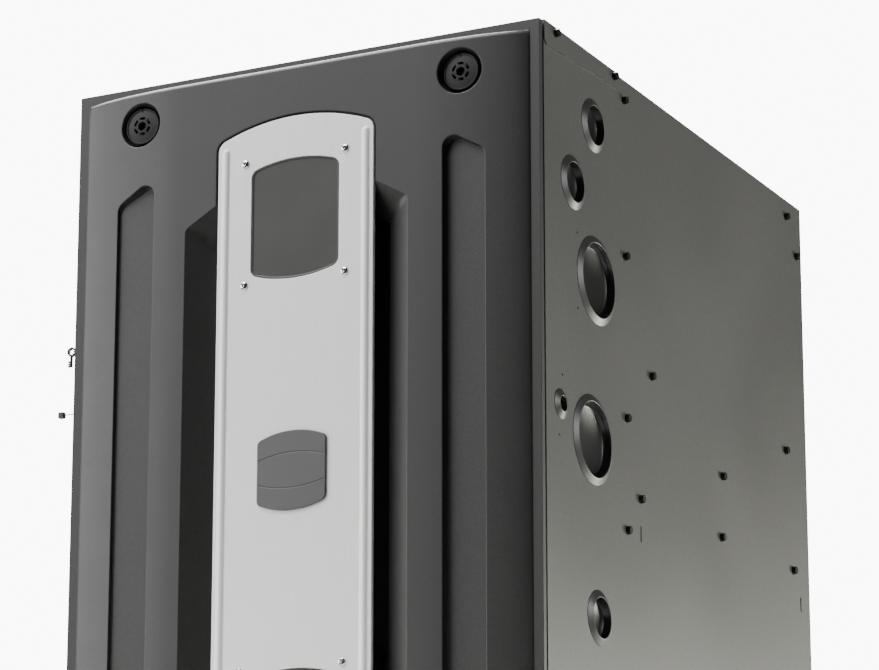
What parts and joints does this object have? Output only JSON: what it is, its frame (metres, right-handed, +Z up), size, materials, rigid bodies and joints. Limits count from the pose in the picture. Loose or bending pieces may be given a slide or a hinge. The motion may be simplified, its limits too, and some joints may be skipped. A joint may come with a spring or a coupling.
{
  "type": "forced air gas furnace",
  "caption": "Upright gas furnace cabinet with a bowed pull-off door, a silver centre strip with two sight windows, corner latch knobs, plugged side openings and an open supply top.",
  "frame": {"origin": "centre of the cabinet's base, without the door, on the floor", "axes": "+X to the right seen from the door side, +Y to the back, +Z up; the door faces -Y"},
  "size_m": [0.5722, 0.7121, 0.8915],
  "materials": {
    "painted_steel": "charcoal powder coat, satin, fine grain",
    "door_paint": "grey powder coat, satin",
    "galvanised_steel": "zinc-coated sheet, dull",
    "foil_liner": "foil facing on glass-fibre blanket",
    "black_steel": "black oxide and black enamel",
    "grey_plastic": "moulded, satin",
    "black_plastic": "moulded, satin",
    "door_plastic": "moulded charcoal, fine grain",
    "brushed_trim": "silver, fine vertical brushing",
    "window_plastic": "smoked grey pane",
    "badge_metal": "dark satin plate",
    "chrome_steel": "bright plated",
    "foam_rubber": "closed-cell foam",
    "black_rubber": "moulded, dull",
    "heat_steel": "aluminised and stainless steel, dull",
    "coil_metal": "bare fins",
    "cast_aluminium": "die cast, fine blasted",
    "red_plastic": "moulded red",
    "ceramic": "bare steatite",
    "motor_paint": "black enamel",
    "bright_steel": "ground shaft",
    "pipe_plastic": "white rigid plastic",
    "green_board": "coated circuit board",
    "transformer_steel": "varnished laminations and tape"
  },
  "bodies": {
    "cabinet": {"bottom_panel": "painted_steel", "left_side_panel": "painted_steel", "right_side_panel": "painted_steel", "back_panel": "painted_steel", "top_front_rail": "painted_steel", "supply_flanges": "painted_steel", "vestibule_panel": "galvanised_steel", "blower_deck": "galvanised_steel", "cabinet_liner": "foil_liner", "side_screws": "black_steel", "knockout_plugs": "grey_plastic", "side_clips": "black_plastic", "latch_receptacles": "galvanised_steel", "burner_box": "galvanised_steel", "burner_rack": "heat_steel", "gas_manifold": "black_steel", "gas_valve": "cast_aluminium", "igniter": "ceramic", "flame_sensor": "ceramic", "rollout_switch": "black_plastic", "inducer_housing": "black_plastic", "inducer_motor": "motor_paint", "vent_pipe": "pipe_plastic", "vent_coupling": "black_rubber", "intake_coupling": "black_rubber", "header_box": "black_plastic", "pressure_switch": "pipe_plastic", "pressure_hose": "black_rubber", "condensate_trap": "black_plastic", "drain_hose": "black_rubber", "heat_exchanger_tubes": "heat_steel", "collector_box": "heat_steel", "secondary_coil": "coil_metal", "blower_housing": "galvanised_steel", "blower_motor": "motor_paint", "motor_mount": "galvanised_steel", "control_tray": "galvanised_steel", "control_board": "green_board", "transformer": "transformer_steel", "door_switch": "pipe_plastic"},
    "door": {"door_pan": "door_paint", "door_shell": "door_plastic", "trim_strip": "brushed_trim", "upper_window": "window_plastic", "lower_window": "window_plastic", "badge_plate": "badge_metal", "trim_screws": "chrome_steel", "window_housings": "black_plastic", "door_gasket": "foam_rubber"},
    "upper_left_knob": {"knob_upper_left": "black_plastic"},
    "upper_right_knob": {"knob_upper_right": "black_plastic"},
    "lower_left_knob": {"knob_lower_left": "black_plastic"},
    "lower_right_knob": {"knob_lower_right": "black_plastic"},
    "blower_rotor": {"blower_wheel": "galvanised_steel", "blower_shaft": "bright_steel"},
    "inducer_rotor": {"inducer_wheel": "grey_plastic", "inducer_shaft": "bright_steel"},
    "valve_knob": {"gas_valve_knob": "red_plastic"},
    "reset_button": {"rollout_button": "red_plastic"},
    "switch_plunger": {"door_switch_plunger": "black_plastic"}
  },
  "joints": [
    {"name": "door_pull", "type": "slide", "parent": "cabinet", "child": "door", "axis": [0, -1, 0], "range_m": [0, 0.25]},
    {"name": "upper_left_latch_turn", "type": "hinge", "parent": "door", "child": "upper_left_knob", "pos_m": [-0.1846, -0.3516, 0.8291], "axis": [0, 1, 0], "range_deg": [0, 90]},
    {"name": "upper_right_latch_turn", "type": "hinge", "parent": "door", "child": "upper_right_knob", "pos_m": [0.1846, -0.3516, 0.8291], "axis": [0, 1, 0], "range_deg": [0, 90]},
    {"name": "lower_left_latch_turn", "type": "hinge", "parent": "door", "child": "lower_left_knob", "pos_m": [-0.1846, -0.3516, 0.0472], "axis": [0, 1, 0], "range_deg": [0, 90]},
    {"name": "lower_right_latch_turn", "type": "hinge", "parent": "door", "child": "lower_right_knob", "pos_m": [0.1846, -0.3516, 0.0472], "axis": [0, 1, 0], "range_deg": [0, 90]},
    {"name": "blower_spin", "type": "hinge", "parent": "cabinet", "child": "blower_rotor", "pos_m": [0, 0.04, 0.188], "axis": [1, 0, 0], "continuous": true},
    {"name": "inducer_spin", "type": "hinge", "parent": "cabinet", "child": "inducer_rotor", "pos_m": [0.1, -0.2423, 0.523], "axis": [0, 1, 0], "continuous": true},
    {"name": "gas_valve_turn", "type": "hinge", "parent": "cabinet", "child": "valve_knob", "pos_m": [-0.2267, -0.3033, 0.7923], "axis": [0, 1, 0], "range_deg": [0, 90]},
    {"name": "reset_press", "type": "slide", "parent": "cabinet", "child": "reset_button", "axis": [0, 1, 0], "range_m": [0, 0.0015], "stiffness_N_per_m": 400, "springref_m": -0.002},
    {"name": "switch_press", "type": "slide", "parent": "cabinet", "child": "switch_plunger", "axis": [0, 1, 0], "range_m": [0, 0.002], "stiffness_N_per_m": 300, "springref_m": -0.003}
  ]
}
